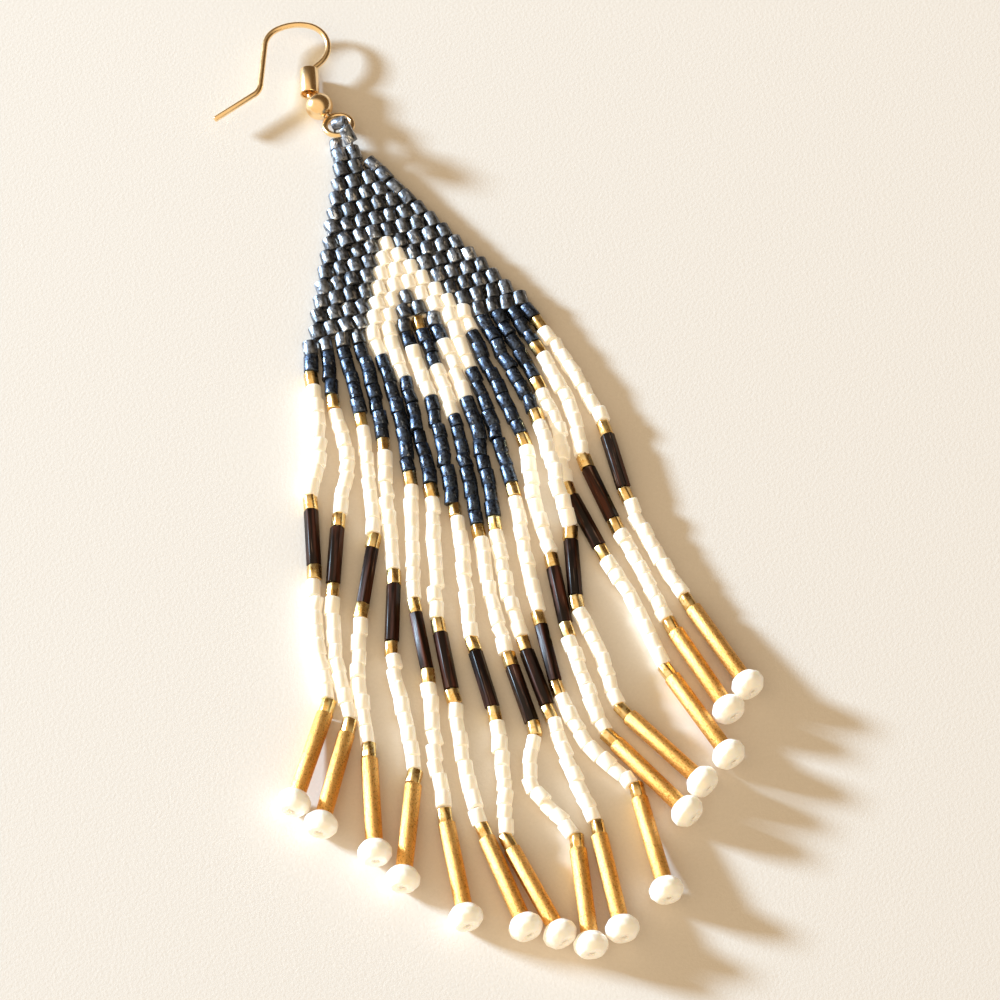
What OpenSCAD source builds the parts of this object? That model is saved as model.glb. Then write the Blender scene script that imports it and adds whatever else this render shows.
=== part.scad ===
// Fringe earring, lying flat as it rests by itself.
// X runs along the rows of beads, the strings hang towards -Y and the surface is Z = 0.
// Lengths are in millimetres and angles in degrees.

/* [Seed beads] */
// Diameter of a string of seed beads
seed_d = 1.5; // [1.4:0.05:1.5]
// Length that a gold seed bead takes on its string
seed_l = 1.6; // [1.5:0.05:1.7]
// Height of a lying string's middle over the surface
seed_z = 0.8; // [0.75:0.05:0.9]
// Diameter of the thread
thread_d = 0.3; // [0.2:0.05:0.4]

/* [Beaded triangle] */
// Distance between two beads in a row
column_pitch = 1.6; // [1.58:0.01:1.65]
// Distance between two beads in the rows above the bottom row
upper_pitch = 1.56; // [1.54:0.01:1.58]
// Distance between two rows
row_pitch = 1.65; // [1.6:0.05:1.7]
// Beads in the top row
top_row = 2; // [2:1:3]
// Sideways step from one row to the next one up
row_lean = -0.13; // [-0.15:0.01:-0.1]
// Thickness of the beadwork
panel_t = 1.55; // [1.4:0.05:1.6]

/* [Bugles and gold tubes] */
// Diameter of a bugle
bugle_d = 1.5; // [1.4:0.05:1.5]
// Length of a bugle
bugle_l = 6.2; // [6:0.1:6.4]
// Outer diameter of a gold tube
tube_d = 1.7; // [1.6:0.05:1.7]
// Bore of a gold tube
tube_bore = 1; // [0.8:0.1:1.2]
// Length of a gold tube
tube_l = 9; // [8.8:0.1:9.1]

/* [End beads] */
// Diameter of an end bead across its corners
end_bead_d = 3.4; // [3.2:0.05:3.4]
// Length of an end bead along its hole
end_bead_l = 2.1; // [2:0.1:2.4]
// Diameter of the flat table round an end bead's hole
end_bead_table = 2.3; // [2:0.1:2.4]
// Hole of an end bead
end_bead_bore = 0.8; // [0.7:0.05:0.9]
// Facets round an end bead
end_bead_facets = 12; // [10:1:14]

/* [Ear wire] */
// Thickness of the wire
wire_d = 0.65; // [0.6:0.05:0.65]
// Height of the wire's middle over the surface
wire_z = 1.45; // [1.45:0.05:1.5]
// Diameter of the eye along the wire's middle
eye_d = 2.9; // [2.85:0.05:2.95]
// Tilt of the eye, which raises the side that holds the beads
eye_tilt = 12; // [11:1:13]
// Diameter of the ball
ball_d = 2.9; // [2.8:0.05:2.9]
// Outer diameter of the sleeve
sleeve_d = 2; // [1.95:0.05:2.1]
// Bore of the sleeve
sleeve_bore = 1.6; // [1.55:0.05:1.6]
// Length of the sleeve
sleeve_l = 3; // [2.9:0.05:3]

/* [Hidden] */
// Space between pieces that touch on the real earring
gap = 0.05;
// Space round the wire in the ball
bore_gap = 0.06;
// Sides of a swept string and the distance between its rings
string_sides = 8;
ring_step = 3.2;
// Sides of the bent wire, the turn between its rings, and how much it is thicker than the tail that it holds
wire_sides = 12;
bend_step = 12;
wire_over = 0.01;
// Length of a bead's rounded edge, and the width left at its end face
edge = 0.08;
end_width = 0.6;
// Smoothness of the exact round pieces
$fn = 48;

// Where each string lies, in X and Y from the middle of the bottom row; a third number is a raised height.
// The bugle and the tube are stiff, so they have a turn to the right of straight down in place of a point.
// Columns: middle of the blue run, first gold bead, place on the upper white run, second gold bead,
// turn of the bugle, place on the lower white run, last gold bead, turn of the tube
strings = [
    [[-11.5, -1.7], [-11.9, -3.5], [-12.8, -10.2], [-15.4, -17.2], -11, [-18.5, -32.4], [-19.1, -39.3], -31],
    [[-10, -3.2], [-10.4, -6.7], [-10.6, -13.2], [-13.2, -19.8], -18, [-17, -34.5], [-17.6, -41.9], -28],
    [[-7.9, -4.6], [-8.1, -9.4], [-9.1, -16.3], [-10.3, -23], -23, [-15.5, -37.7], [-16.3, -45], -11],
    [[-6.1, -6.4], [-6.7, -12.8], [-8.1, -20.1], [-9.3, -27.4], -16, [-12, -41.7], [-12.7, -48.8], -20],
    [[-4.3, -8.7], [-5, -17.2], [-6.6, -24.2], [-8.1, -31], -4, [-10, -46], [-10.8, -53.5], -4],
    [[-2.7, -9.7], [-3.3, -19.1], [-4.8, -26.4], [-6.3, -33.7], -4, [-7.6, -48.6], [-7.6, -56], 7],
    [[-0.7, -10.5], [-1.5, -21.8], [-2.4, -29.3], [-3.5, -36.6], 1, [-4.2, -51], [-5.6, -57.7], 12.2],
    [[1.1, -12.3], [0.2, -24.7], [-0.4, -31.6], [-0.4, -39.1], 3, [-1.9, -51.8], [0.9, -59.4], -8.5],
    [[3, -12.4], [2, -24.3], [1.4, -30.9], [1.4, -37.8], 4, [2.4, -52.2], [3.2, -58.5], -3],
    [[4.6, -10.5], [4.8, -21.1], [4.1, -28.2], [3.6, -35.5], -2, [4.7, -50], [8, -55.8], -1],
    [[6.2, -8.4], [7.3, -15.9], [6.5, -23.1], [6.5, -29.7], -4, [6.2, -44.1], [7, -49.7], 27.2],
    [[8.1, -7.1], [9.3, -13.7, 1], [9.1, -22.5, 2.4], [9.1, -27.2], -11, [8.5, -40.8], [9, -47.3], 29],
    [[9.45, -5.4], [10.4, -10.1], [11.1, -15.8], [10.2, -22.5], 11, [13.4, -37.3], [14.4, -44.3], 17],
    [[10.6, -3.1], [11.5, -6.1], [12.9, -13.3], [12.7, -19.9], 8, [15, -33.6], [16.1, -39.6], 15],
    [[11.8, -1.6], [12.4, -3.2], [14.2, -9.4], [15.7, -16.7], 0, [16.9, -31.8], [18.5, -37.6], 16]
];
// How much further right the middle strings start than even spacing would put them
middle_shift = 0.4;
// How much further right the rows above the bottom row lie than their lean would put them
upper_shift = 0.15;
// The same for the top row alone
top_shift = -0.4;

// Middle of the wire's eye, and the way from it up through the ball
eye_middle = [-2, 24.9];
eye_way = 115;
// Bend of the wire between the ball and the sleeve
neck_radius = 0.6;
neck_turn = -38;
// The wire already bends in this length of the sleeve's upper end
sleeve_mouth = 0.4;
// Wire above the sleeve's foot, with columns: straight length, radius of the bend after it, turn of the bend
wire_bends = [
    [sleeve_l - sleeve_mouth, 0.5, -48],
    [1.3, 2.85, 126],
    [0, 4.8, 39],
    [0, 2.5, 57],
    [5.1, 1.5, -49]
];
// Straight tail that goes through the ear
tail_l = 5.2;

// Loop of three beads through the eye: the two ends of each bead, then the thread's points inside the eye
// and on the beadwork
loop_bead_d = 1.5;
loop_beads = [
    [[-2.85, 22.4, 0.8], [-2.65, 23.65, 0.8]],
    [[-2.55, 24.7, 2.35], [-1.3, 24.4, 3.05]],
    [[-1.65, 23.55, 3.35], [-1.25, 22, 2.55]]
];
loop_inside = [-2.55, 24.1, 1.1];
loop_foot = [-1.25, 21.6, 1.75];

// Middle of the whole earring's box, which becomes the origin
middle_x = -1.56;
middle_y = -16.257;

bottom_row = len(strings);
string_r = seed_d / 2;
thread_r = thread_d / 2;
bugle_span = bugle_l + seed_l;
// An end bead rests on a corner of its girdle, and the tube rises to its hole
end_bead_z = end_bead_d / 2;
tube_z = (tube_d + gap) / 2;
tube_run = tube_l + gap + end_bead_l / 2;
tube_rise = asin((end_bead_z - tube_z) / tube_run);
ball_way = (ball_d + wire_d + eye_d) / 2 + gap;

// Moves the earring from the middle of its bottom row to the middle of its box
module placed() {
    translate([-middle_x, -middle_y, 0]) children();
}

function unit(v) = v / norm(v);
function turned(a) = [sin(a), -cos(a), 0];
function raised(p) = [p[0], p[1], len(p) > 2 ? p[2] : seed_z];

// The up side of each ring of a sweep, carried along without twist
function ring_ups(ways, k) =
    k == 0
    ? [unit([0, 0, 1] - ways[0][2] * ways[0])]
    : let (before = ring_ups(ways, k - 1), up = before[k - 1])
      concat(before, [unit(up - (up * ways[k]) * ways[k])]);

// Sweeps a round string through stations, each a place, a direction and a radius
module swept(stations, sides = string_sides) {
    ways = [for (s = stations) s[1]];
    last = len(stations) - 1;
    ups = ring_ups(ways, last);
    points = [
        for (j = [0:last])
            for (k = [0:sides - 1])
                let (a = 360 * (k + 0.5) / sides, r = stations[j][2] / cos(180 / sides))
                stations[j][0] + r * (cos(a) * cross(ways[j], ups[j]) + sin(a) * ups[j])
    ];
    walls = [
        for (j = [0:last - 1])
            for (k = [0:sides - 1])
                let (a = j * sides + k, b = j * sides + (k + 1) % sides)
                for (wall = [[a, b, b + sides], [a, b + sides, a + sides]])
                    wall
    ];
    first_end = [for (k = [sides - 1:-1:0]) k];
    last_end = [for (k = [0:sides - 1]) last * sides + k];
    polyhedron(points, concat(walls, [first_end, last_end]));
}

// A string's knots: the bottom row, the points of its table row, the bugle's far end and the tube's foot
function base_x(i) =
    let (side = (2 * i - bottom_row - 1) / (bottom_row - 1))
    side * (bottom_row - 1) / 2 * column_pitch + middle_shift * (1 - side * side);
function knots(i) =
    let (s = strings[i - 1], second_gold = raised(s[3]), last_gold = raised(s[6]))
    [
        [base_x(i), 0, seed_z],
        raised(s[0]),
        raised(s[1]),
        raised(s[2]),
        second_gold,
        second_gold + bugle_span * turned(s[4]),
        raised(s[5]),
        last_gold,
        last_gold + tube_run * turned(s[7])
    ];
bugle_knot = 4;
gold_knot = 7;

// A smooth curve through the knots, straight along the bugle
function knot_way(p, k) =
    k == 0
    ? unit(p[1] - p[0])
    : (p[k + 1] - p[k - 1]) / (norm(p[k + 1] - p[k]) + norm(p[k] - p[k - 1]));
function on_curve(p, k, t) =
    let (l = norm(p[k + 1] - p[k]), u = 1 - t)
    k == bugle_knot
    ? p[k] + t * (p[k + 1] - p[k])
    : u * u * (1 + 2 * t) * p[k] + t * u * u * l * knot_way(p, k)
      + t * t * (3 - 2 * t) * p[k + 1] - t * t * u * l * knot_way(p, k + 1);
function station(p, k, t, r) =
    let (step = 0.05)
    [on_curve(p, k, t), unit(on_curve(p, k, min(t + step, 1)) - on_curve(p, k, max(t - step, 0))), r];
function run(p, k) =
    let (rings = max(1, round(norm(p[k + 1] - p[k]) / ring_step)))
    [for (j = [1:rings]) station(p, k, j / rings, string_r)];

function tube_start(i) =
    let (s = strings[i - 1], g = s[6] + (seed_l / 2 + gap) * [turned(s[7])[0], turned(s[7])[1]])
    [g[0], g[1], tube_z];
function tube_way(i) = cos(tube_rise) * turned(strings[i - 1][7]) + [0, 0, sin(tube_rise)];

// One string: seed beads, bugle, seed beads, then the bare thread inside the tube and the end bead
module strand(i) {
    p = knots(i);
    first = p[1] - p[0];
    start = (row_pitch / 2 + gap + string_r * abs(first[0]) / norm(first)) / -first[1];
    start_edge = start + edge / norm(first);
    bugle_ends = [
        for (ring = [
            [seed_l / 2 - edge, string_r],
            [seed_l / 2, string_r * end_width],
            [seed_l / 2 + edge, bugle_d / 2],
            [seed_l / 2 + bugle_l - edge, bugle_d / 2],
            [seed_l / 2 + bugle_l, string_r * end_width],
            [seed_l / 2 + bugle_l + edge, string_r]
        ])
            station(p, bugle_knot, ring[0] / bugle_span, ring[1])
    ];
    flat_way = turned(strings[i - 1][7]);
    tube_end = [
        [p[gold_knot] + (seed_l / 2 - edge) * flat_way, flat_way, string_r],
        [p[gold_knot] + seed_l / 2 * flat_way, flat_way, string_r * end_width],
        [tube_start(i) + edge * tube_way(i), tube_way(i), thread_r],
        [tube_start(i) + (tube_run + end_bead_l / 2 - edge) * tube_way(i), tube_way(i), thread_r]
    ];
    color("ivory") placed() swept(concat(
        [station(p, 0, start, string_r * end_width), station(p, 0, start_edge, string_r)],
        [for (k = [0:bugle_knot - 1]) for (ring = run(p, k)) ring],
        bugle_ends,
        [for (k = [bugle_knot + 1:gold_knot - 1]) for (ring = run(p, k)) ring],
        tube_end
    ));
}

// Puts a piece on a string's end, a distance along the tube from its start
module along_tube(i, distance) {
    translate(tube_start(i) + distance * tube_way(i))
        rotate([90 - tube_rise, 0, strings[i - 1][7]])
        children();
}

module gold_tube(i) {
    color("goldenrod") placed() along_tube(i, 0)
        difference() {
            cylinder(d = tube_d, h = tube_l);
            translate([0, 0, -gap]) cylinder(d = tube_bore, h = tube_l + 2 * gap);
        }
}

// Faceted bead: two flat tables, and three belts of triangles between rings that are turned by half a facet
module end_bead(i) {
    n = end_bead_facets;
    belt = end_bead_l / 3;
    // Columns: height, radius, turn in half facets
    rings = [
        [0, end_bead_bore / 2, 0],
        [0, end_bead_table / 2, 0],
        [belt, end_bead_d / 2, 1],
        [end_bead_l - belt, end_bead_d / 2, 0],
        [end_bead_l, end_bead_table / 2, 1],
        [end_bead_l, end_bead_bore / 2, 0]
    ];
    count = len(rings);
    points = [
        for (ring = rings)
            for (k = [0:n - 1])
                let (a = 360 * (k + ring[2] / 2) / n)
                [ring[1] * cos(a), ring[1] * sin(a), ring[0]]
    ];
    facets = [
        for (j = [0:count - 1])
            let (next = (j + 1) % count, back = rings[next][2] - rings[j][2])
            for (k = [0:n - 1])
                let (
                    a = j * n + k,
                    b = j * n + (k + 1) % n,
                    c = next * n + k,
                    d = next * n + (k + 1) % n
                )
                for (facet = back < 0 ? [[b, a, d], [a, c, d]] : [[b, a, c], [b, c, d]])
                    facet
    ];
    color("white") placed() along_tube(i, tube_l + gap) polyhedron(points, facets);
}

// Woven triangle: each row is one bead shorter than the row below it, and steps over by the lean
module bead_panel() {
    rows = [for (row = [bottom_row:-1:top_row]) [
        row_lean * (bottom_row - row) + (row < bottom_row ? upper_shift : 0)
            + (row == top_row ? top_shift : 0),
        row_pitch * (bottom_row - row),
        (row < bottom_row ? upper_pitch : column_pitch) * row / 2
    ]];
    half = row_pitch / 2;
    right = [for (r = rows) for (side = [-half, half]) [r[0] + r[2], r[1] + side]];
    left = [
        for (k = [len(rows) - 1:-1:0])
            for (side = [half, -half])
                [rows[k][0] - rows[k][2], rows[k][1] + side]
    ];
    color("slategray") placed() linear_extrude(panel_t) polygon(concat(right, left));
}

// Three beads on a thread, from the top row up through the eye and back to the beadwork
function loop_bead(ends) =
    let (way = unit(ends[1] - ends[0]), r = loop_bead_d / 2)
    [
        [ends[0], way, r * end_width],
        [ends[0] + edge * way, way, r],
        [ends[1] - edge * way, way, r],
        [ends[1], way, r * end_width]
    ];
module bead_loop() {
    inside_way = unit(loop_beads[1][0] - loop_beads[0][1]);
    foot_way = unit(loop_foot - loop_beads[2][1]);
    color("slategray") placed() swept(concat(
        loop_bead(loop_beads[0]),
        [[loop_inside, inside_way, thread_r]],
        loop_bead(loop_beads[1]),
        loop_bead(loop_beads[2]),
        [[loop_foot, foot_way, thread_r]]
    ));
}

// Wire: a pose is X, Y and heading, and each row of bends moves it on
function bent(pose, row) =
    let (
        x = pose[0] + row[0] * cos(pose[2]),
        y = pose[1] + row[0] * sin(pose[2]),
        side = sign(row[2]) * row[1],
        after = pose[2] + row[2]
    )
    [x + side * (sin(after) - sin(pose[2])), y - side * (cos(after) - cos(pose[2])), after];
function wire_pose(k) = k == 0 ? sleeve_pose : bent(wire_pose(k - 1), wire_bends[k - 1]);
neck_straight = ball_way + ball_d / 2;
eye_pose = [
    eye_middle[0] + eye_d / 2 * cos(eye_way),
    eye_middle[1] + eye_d / 2 * sin(eye_way),
    eye_way
];
neck_row = [neck_straight - eye_d / 2, neck_radius, neck_turn];
sleeve_pose = bent(eye_pose, neck_row);

module at_pose(pose) {
    translate([pose[0], pose[1], wire_z]) rotate([0, 0, pose[2]]) children();
}

// The rings round a straight stretch's far end and the bend after it
function wire_station(pose) =
    [[pose[0], pose[1], wire_z], [cos(pose[2]), sin(pose[2]), 0], wire_d / 2 + wire_over];
function wire_stations(pose, row) =
    let (steps = ceil(abs(row[2]) / bend_step))
    [for (j = [(row[0] > 0 ? 0 : 1):steps]) wire_station(bent(pose, [row[0], row[1], row[2] * j / steps]))];

// The bent part is swept, and the eye and the tail are exactly round
module ear_hook() {
    tail_pose = wire_pose(len(wire_bends));
    color("gold") placed() {
        translate([eye_middle[0], eye_middle[1], wire_z + eye_d / 2 * sin(eye_way) * sin(eye_tilt)])
            rotate([-eye_tilt, 0, 0])
            rotate_extrude()
            translate([eye_d / 2, 0])
            circle(d = wire_d);
        swept(concat(
            [wire_station(eye_pose)],
            wire_stations(eye_pose, neck_row),
            [for (k = [0:len(wire_bends) - 1]) for (ring = wire_stations(wire_pose(k), wire_bends[k])) ring],
            [wire_station(bent(tail_pose, [wire_d, 0, 0]))]
        ), wire_sides);
        at_pose(tail_pose)
            rotate([0, 90, 0])
            translate([0, 0, wire_d / 2])
            cylinder(d = wire_d, h = tail_l - wire_d / 2);
    }
}

module hook_sleeve() {
    color("gold") placed() at_pose(sleeve_pose) rotate([0, 90, 0])
        difference() {
            translate([0, 0, gap]) cylinder(d = sleeve_d, h = sleeve_l);
            cylinder(d = sleeve_bore, h = sleeve_l + 2 * gap);
        }
}

module hook_ball() {
    bore_d = wire_d + 2 * bore_gap;
    color("gold") placed()
        translate([
            eye_middle[0] + ball_way * cos(eye_way),
            eye_middle[1] + ball_way * sin(eye_way),
            wire_z
        ])
        rotate([0, 90, eye_way])
        difference() {
            sphere(d = ball_d);
            cylinder(d = bore_d, h = 2 * ball_d, center = true);
        }
}

ear_hook();
hook_sleeve();
hook_ball();
bead_loop();
bead_panel();
for (i = [1:bottom_row]) strand(i);
for (i = [1:bottom_row]) gold_tube(i);
for (i = [1:bottom_row]) end_bead(i);
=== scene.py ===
import math
import random

import bmesh
import bpy
from mathutils import Matrix, Vector


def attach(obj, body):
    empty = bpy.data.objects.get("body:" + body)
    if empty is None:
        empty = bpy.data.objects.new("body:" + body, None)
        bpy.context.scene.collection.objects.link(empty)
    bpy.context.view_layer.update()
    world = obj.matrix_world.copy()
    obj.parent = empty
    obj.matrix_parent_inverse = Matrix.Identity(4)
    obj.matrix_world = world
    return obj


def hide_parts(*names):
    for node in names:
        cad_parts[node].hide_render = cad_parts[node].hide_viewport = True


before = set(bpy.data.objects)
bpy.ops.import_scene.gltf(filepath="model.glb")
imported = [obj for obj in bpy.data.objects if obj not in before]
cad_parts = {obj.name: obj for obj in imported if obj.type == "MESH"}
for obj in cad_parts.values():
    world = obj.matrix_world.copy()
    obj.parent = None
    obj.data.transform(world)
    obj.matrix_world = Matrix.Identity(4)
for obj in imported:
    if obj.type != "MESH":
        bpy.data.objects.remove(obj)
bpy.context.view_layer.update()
print("frame loaded")

# Lengths are millimetres until a mesh is made. The CAD frame's origin is this far from the middle of the
# panel's bottom row, which is where the tables below count from.
millimetre = 0.001
origin = Vector((1.56, 16.257, 0))
rng = random.Random(8)
anyTurn = (0, 6.28)


# camera

view = {
    "place": (-41.55, -189.15, 356.04),
    "target": (3.33, -21.39, 0),
    "lens": 140.47,
    "sensor": 36.0,
    "clip": (0.02, 10),
}
cameraData = bpy.data.cameras.new("camera")
cameraData.lens, cameraData.sensor_width = view["lens"], view["sensor"]
cameraData.clip_start, cameraData.clip_end = view["clip"]
camera = bpy.data.objects.new("camera", cameraData)
bpy.context.scene.collection.objects.link(camera)
camera.location = (Vector(view["place"]) + origin) * millimetre
camera.rotation_mode = "QUATERNION"
camera.rotation_quaternion = (Vector(view["target"]) - Vector(view["place"])).to_track_quat("-Z", "Y")
bpy.context.scene.camera = camera
bpy.context.scene.view_settings.view_transform = "Standard"
print("camera made")


# meshes

meshValues = {
    "lowest": 0.01,  # no solid comes nearer to the floor than this
    "grainShift": 40,  # most that a bead's own coordinates are moved, so that no two share a grain
    "mouth": 0.07,  # bevel at a bore
    "mouthShare": 0.3,  # most of the wall that this bevel takes
    "roundShare": 0.3,  # how far in the middle point of a rounded edge lies
}


class Piece:
    # Collects many small solids into one mesh. Each has a random tone and its own coordinates, moved by a
    # random step, which the materials read.

    def __init__(self):
        self.verts, self.faces, self.slots = [], [], []
        self.local, self.tone = [], []

    def add(self, verts, faces, matrix, slot):
        base, tone = len(self.verts), rng.random()
        shift = Vector((rng.random(), rng.random(), rng.random())) * meshValues["grainShift"]
        placed = [matrix @ Vector(v) for v in verts]
        rise = max(0.0, meshValues["lowest"] - min(v.z for v in placed))
        for own, v in zip(verts, placed):
            self.verts.append((v + origin + Vector((0, 0, rise))) * millimetre)
            self.local.append(Vector(own) + shift)
            self.tone.append(tone)
        for face in faces:
            self.faces.append([base + k for k in face])
            self.slots.append(slot)

    def build(self, name, materials, node):
        mesh = bpy.data.meshes.new(name)
        mesh.from_pydata(self.verts, [], self.faces)
        mesh.polygons.foreach_set("material_index", self.slots)
        mesh.polygons.foreach_set("use_smooth", [True] * len(self.faces))
        tone = mesh.attributes.new("tone", "FLOAT", "POINT")
        tone.data.foreach_set("value", self.tone)
        local = mesh.attributes.new("local", "FLOAT_VECTOR", "POINT")
        local.data.foreach_set("vector", [c for v in self.local for c in v])
        for material in materials:
            mesh.materials.append(material)
        mesh.update()
        piece = bpy.data.objects.new(name, mesh)
        bpy.context.scene.collection.objects.link(piece)
        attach(piece, "root")
        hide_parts(node)


# A closed outline of (radius, height) turned round Z, with soft lengthwise facets, slanted ends, and a wall
# that is out of round by the two waves' (size, start)
def turnedRing(profile, sides, facets=0, sharp=0.0, slant=(0.0, 0.0), length=1.0, waves=((0, 0), (0, 0))):
    verts, faces = [], []
    count = len(profile)
    for k in range(sides):
        angle = 2 * math.pi * k / sides
        scale = 1.0
        for order, (size, start) in enumerate(waves, 2):
            scale += size * math.cos(order * angle + start)
        if facets:
            part = (angle % (2 * math.pi / facets)) - math.pi / facets
            scale *= 1 + sharp * (math.cos(math.pi / facets) / math.cos(part) - 1)
        for radius, height in profile:
            x, y = radius * scale * math.cos(angle), radius * scale * math.sin(angle)
            tilt = slant[1] if height > 0 else slant[0]
            verts.append((x, y, height + tilt * x * abs(height) * 2 / length))
    for k in range(sides):
        for j in range(count):
            a, b = k * count + j, k * count + (j + 1) % count
            c, d = ((k + 1) % sides) * count + (j + 1) % count, ((k + 1) % sides) * count + j
            faces.append((a, b, c, d))
    return verts, faces


# The outline of a bored bead: bore, end face, rounded edge and wall
def tubeProfile(radius, bore, length, rounding):
    half = length / 2
    inner = min(meshValues["mouth"], (radius - bore) * meshValues["mouthShare"])
    outer = rounding * meshValues["roundShare"]
    side = [(bore, half - inner), (bore + inner, half), (radius - rounding, half),
            (radius - outer, half - outer), (radius, half - rounding)]
    return [(r, -h) for r, h in side] + [(r, h) for r, h in reversed(side)]


# Turns Z to a direction
def frameAlong(way, roll=0.0):
    return way.to_track_quat("Z", "Y").to_matrix().to_4x4() @ Matrix.Rotation(roll, 4, "Z")


# Rings round a line of points, carried along without twist, with flat ends
def sweepRings(points, radii, sides):
    ways = []
    for k in range(len(points)):
        ways.append((points[min(k + 1, len(points) - 1)] - points[max(k - 1, 0)]).normalized())
    up = Vector((0, 0, 1)) - ways[0] * ways[0].z
    up.normalize()
    verts, faces = [], []
    for way, point, radius in zip(ways, points, radii):
        up = (up - way * up.dot(way)).normalized()
        side = way.cross(up)
        for k in range(sides):
            angle = 2 * math.pi * k / sides
            verts.append(point + radius * (math.cos(angle) * side + math.sin(angle) * up))
    for j in range(len(points) - 1):
        for k in range(sides):
            a, b = j * sides + k, j * sides + (k + 1) % sides
            faces.append((a, b, b + sides, a + sides))
    faces.append(tuple(range(sides))[::-1])
    faces.append(tuple(range(len(verts) - sides, len(verts))))
    return verts, faces


# materials

grainNoise = {"Detail": 5.0, "Roughness": 0.6}
reliefDepth = 0.0001  # metres


def setSockets(node, values):
    for key, value in values.items():
        node.inputs[key].default_value = value


# Noise that is fixed to each bead, stretched along its hole: a mask, and a normal for its relief
def grainGroup():
    group = bpy.data.node_groups.new("beadGrain", "ShaderNodeTree")
    for name, kind, start in (("Scale", "NodeSocketFloat", 2.0), ("Stretch", "NodeSocketFloat", 1.0),
                              ("Low", "NodeSocketFloat", 0.4), ("High", "NodeSocketFloat", 0.6),
                              ("Relief", "NodeSocketFloat", 0.2)):
        socket = group.interface.new_socket(name, in_out="INPUT", socket_type=kind)
        socket.default_value = start
    group.interface.new_socket("Mask", in_out="OUTPUT", socket_type="NodeSocketFloat")
    group.interface.new_socket("Normal", in_out="OUTPUT", socket_type="NodeSocketVector")
    nodes, link = group.nodes, group.links.new
    entry, leave = nodes.new("NodeGroupInput"), nodes.new("NodeGroupOutput")
    place = nodes.new("ShaderNodeAttribute")
    place.attribute_name = "local"
    split, join = nodes.new("ShaderNodeSeparateXYZ"), nodes.new("ShaderNodeCombineXYZ")
    squeeze = nodes.new("ShaderNodeMath")
    squeeze.operation = "DIVIDE"
    noise = nodes.new("ShaderNodeTexNoise")
    setSockets(noise, grainNoise)
    spread = nodes.new("ShaderNodeMapRange")
    bump = nodes.new("ShaderNodeBump")
    setSockets(bump, {"Distance": reliefDepth})
    link(place.outputs["Vector"], split.inputs["Vector"])
    link(split.outputs["X"], join.inputs["X"])
    link(split.outputs["Y"], join.inputs["Y"])
    link(split.outputs["Z"], squeeze.inputs[0])
    link(entry.outputs["Stretch"], squeeze.inputs[1])
    link(squeeze.outputs["Value"], join.inputs["Z"])
    link(join.outputs["Vector"], noise.inputs["Vector"])
    link(entry.outputs["Scale"], noise.inputs["Scale"])
    link(noise.outputs["Fac"], spread.inputs["Value"])
    link(entry.outputs["Low"], spread.inputs["From Min"])
    link(entry.outputs["High"], spread.inputs["From Max"])
    link(noise.outputs["Fac"], bump.inputs["Height"])
    link(entry.outputs["Relief"], bump.inputs["Strength"])
    link(spread.outputs["Result"], leave.inputs["Mask"])
    link(bump.outputs["Normal"], leave.inputs["Normal"])
    return group


# Mixes two colours by a mask and a third by the wear, then changes the whole bead a little by its own tone
def toneGroup():
    group = bpy.data.node_groups.new("beadTone", "ShaderNodeTree")
    for name, kind in (("Mask", "NodeSocketFloat"), ("Wear", "NodeSocketFloat"),
                       ("Dark", "NodeSocketColor"), ("Light", "NodeSocketColor"),
                       ("Worn", "NodeSocketColor"), ("Spread", "NodeSocketFloat")):
        group.interface.new_socket(name, in_out="INPUT", socket_type=kind)
    group.interface.new_socket("Color", in_out="OUTPUT", socket_type="NodeSocketColor")
    nodes, link = group.nodes, group.links.new
    entry, leave = nodes.new("NodeGroupInput"), nodes.new("NodeGroupOutput")
    mix, worn = nodes.new("ShaderNodeMix"), nodes.new("ShaderNodeMix")
    mix.data_type = worn.data_type = "RGBA"
    tone = nodes.new("ShaderNodeAttribute")
    tone.attribute_name = "tone"
    centred, scaled, gain = (nodes.new("ShaderNodeMath") for _ in range(3))
    centred.operation, scaled.operation, gain.operation = "SUBTRACT", "MULTIPLY", "ADD"
    centred.inputs[1].default_value = 0.5
    gain.inputs[1].default_value = 1.0
    shade = nodes.new("ShaderNodeVectorMath")
    shade.operation = "SCALE"
    link(entry.outputs["Mask"], mix.inputs["Factor"])
    link(entry.outputs["Dark"], mix.inputs["A"])
    link(entry.outputs["Light"], mix.inputs["B"])
    link(entry.outputs["Wear"], worn.inputs["Factor"])
    link(mix.outputs["Result"], worn.inputs["A"])
    link(entry.outputs["Worn"], worn.inputs["B"])
    link(tone.outputs["Fac"], centred.inputs[0])
    link(centred.outputs["Value"], scaled.inputs[0])
    link(entry.outputs["Spread"], scaled.inputs[1])
    link(scaled.outputs["Value"], gain.inputs[0])
    link(worn.outputs["Result"], shade.inputs[0])
    link(gain.outputs["Value"], shade.inputs["Scale"])
    link(shade.outputs["Vector"], leave.inputs["Color"])
    return group


grain, toned = grainGroup(), toneGroup()


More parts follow.
